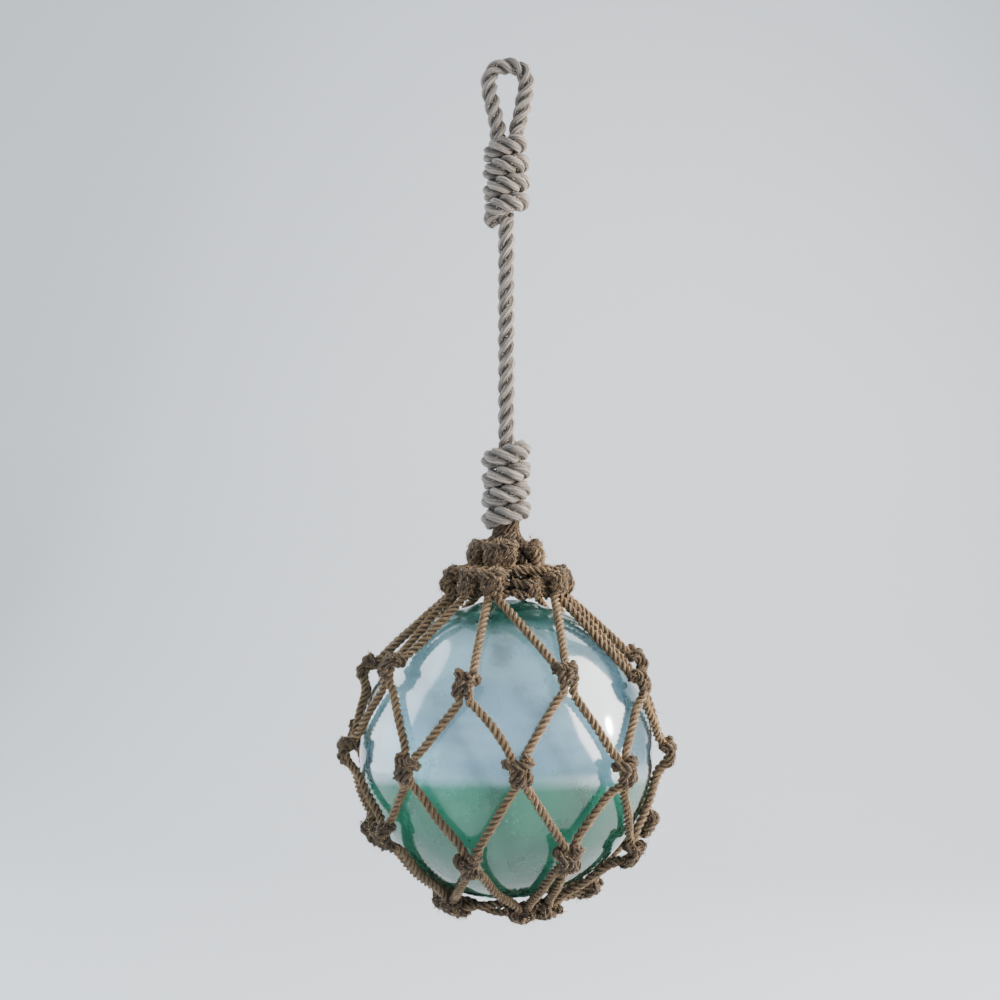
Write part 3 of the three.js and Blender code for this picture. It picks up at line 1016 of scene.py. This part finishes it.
class FLOAT_OT_glass(bpy.types.Operator):
    """Blow the hollow glass ball, with its seal and its seeds."""

    bl_idname = "net_float.glass"
    bl_label = "Glass Ball"

    def execute(self, context):
        sizes = context.scene.float_sizes
        colours = context.scene.float_colours
        bm = bmesh.new()
        glass_wall(bm, BALL_RADIUS - OUTER_INSET, OUTER_WAVES, seed=3.0, inward=False)
        glass_wall(bm, BALL_RADIUS - sizes.wall, INNER_WAVES, seed=8.0, inward=True)
        draw = random.Random(31)
        for _ in range(sizes.seeds):
            size = min(LARGEST_SEED, draw.lognormvariate(math.log(SEED), 0.4))
            out = Vector([draw.gauss(0, 1) for _ in range(3)]).normalized()
            middle = BALL_CENTRE + out * (BALL_RADIUS - sizes.wall * 0.5)
            made = bmesh.ops.create_icosphere(
                bm, subdivisions=1, radius=size, matrix=Matrix.Translation(middle))
            face_inward(bm, made["verts"])
        finish = blown_glass("Sea-green blown glass", colours.glass, colours.depth, sizes.wall)
        dress(to_object("glass_ball", bm, finish), "sea_glass", "glass_float")
        return {"FINISHED"}


# ------------------------------------------------------------------ the stage
CAMERA_AT = (-4.4 * MM, -951 * MM, -293.6 * MM)
LENS = 49.46
# How far the floor lies under the float, its front edge, where it starts to rise, the radius
# of the rise, and the backdrop's height and half width.
FLOOR = {"drop": 0.36, "front": -1.9, "back": 1.4, "rise": 0.8, "height": 4, "half": 5}
# Each light's name, place, power, width, height and colour. All face one point on the float.
LIT_POINT = Vector((0, 0, -0.4))
LIGHTS = (
    ("Key", (1.6, -0.1, 0.25), 100, 1.9, 2.6, (1, 0.93, 0.85)),
    ("Glint", (2.2, -0.05, 0.0), 26, 0.2, 0.3, (1, 0.96, 0.9)),
    ("Cool", (-1.5, 0.6, 0.1), 40, 2.0, 2.7, (0.84, 0.93, 1)),
    ("Back", (0.4, 1.2, 0.6), 8, 1.2, 1.2, (0.95, 0.97, 1)),
)
SKY = (0.68, 0.80, 0.95, 1)
SKY_STRENGTH = 0.85


class FLOAT_OT_stage(bpy.types.Operator):
    """Set the camera, the soft lights and the pale floor."""

    bl_idname = "net_float.stage"
    bl_label = "Stage"

    def execute(self, context):
        scene = context.scene
        camera = bpy.data.cameras.new("Camera")
        camera.lens = LENS
        camera.sensor_width = 36
        eye = bpy.data.objects.new("Camera", camera)
        eye.location = CAMERA_AT
        eye.rotation_euler = (math.radians(90), 0, 0)
        scene.collection.objects.link(eye)
        scene.camera = eye

        bm = bmesh.new()
        low = CAD_BOX[0][2] - FLOOR["drop"]
        back = FLOOR["back"]
        rise = FLOOR["rise"]
        profile = [(FLOOR["front"], low), (back, low)]
        for step in range(1, 11):
            a = math.radians(9 * step)
            profile.append((back + rise * math.sin(a), low + rise - rise * math.cos(a)))
        profile.append((back + rise, low + FLOOR["height"]))
        verts = [bm.verts.new((-FLOOR["half"], y, z)) for y, z in profile]
        edges = [bm.edges.new(pair) for pair in zip(verts, verts[1:])]
        made = bmesh.ops.extrude_edge_only(bm, edges=edges)
        moved = [item for item in made["geom"] if isinstance(item, bmesh.types.BMVert)]
        bmesh.ops.translate(bm, verts=moved, vec=(2 * FLOOR["half"], 0, 0))
        bmesh.ops.recalc_face_normals(bm, faces=bm.faces)
        board = painted_board("Pale painted board", scene.float_colours.backdrop)
        to_object("studio_floor", bm, board)

        for name, place, power, wide, high, colour in LIGHTS:
            lamp = bpy.data.lights.new(name, "AREA")
            lamp.shape = "ELLIPSE"
            lamp.energy = power
            lamp.size = wide
            lamp.size_y = high
            lamp.color = colour
            light = bpy.data.objects.new(name, lamp)
            light.location = place
            way = LIT_POINT - Vector(place)
            light.rotation_euler = way.to_track_quat("-Z", "Y").to_euler()
            scene.collection.objects.link(light)
        world = bpy.data.worlds.new("Studio")
        world.use_nodes = True
        sky = world.node_tree.nodes["Background"].inputs
        sky["Color"].default_value = SKY
        sky["Strength"].default_value = SKY_STRENGTH
        scene.world = world
        return {"FINISHED"}


class FLOAT_PT_panel(bpy.types.Panel):
    """The sidebar panel."""

    bl_idname = "FLOAT_PT_panel"
    bl_label = "Net Float"
    bl_space_type = "VIEW_3D"
    bl_region_type = "UI"
    bl_category = "Net Float"

    def draw(self, context):
        layout = self.layout
        for group in (context.scene.float_sizes, context.scene.float_colours):
            for key in group.__annotations__:
                layout.prop(group, key)
        for operator in OPERATORS:
            layout.operator(operator.bl_idname)


OPERATORS = (FLOAT_OT_stage, FLOAT_OT_hanger, FLOAT_OT_net, FLOAT_OT_glass)
CLASSES = (FloatSizes, FloatColours, *OPERATORS, FLOAT_PT_panel)


def register():
    """Registers the classes and puts the settings on the scene."""
    for cls in CLASSES:
        bpy.utils.register_class(cls)
    bpy.types.Scene.float_sizes = PointerProperty(type=FloatSizes)
    bpy.types.Scene.float_colours = PointerProperty(type=FloatColours)


def unregister():
    """Takes the settings and the classes away again."""
    del bpy.types.Scene.float_colours
    del bpy.types.Scene.float_sizes
    for cls in reversed(CLASSES):
        bpy.utils.unregister_class(cls)


def main():
    """Registers the add-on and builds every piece."""
    register()
    bpy.ops.net_float.stage()
    bpy.ops.net_float.hanger()
    bpy.ops.net_float.net()
    bpy.ops.net_float.glass()


if __name__ == "__main__":
    main()
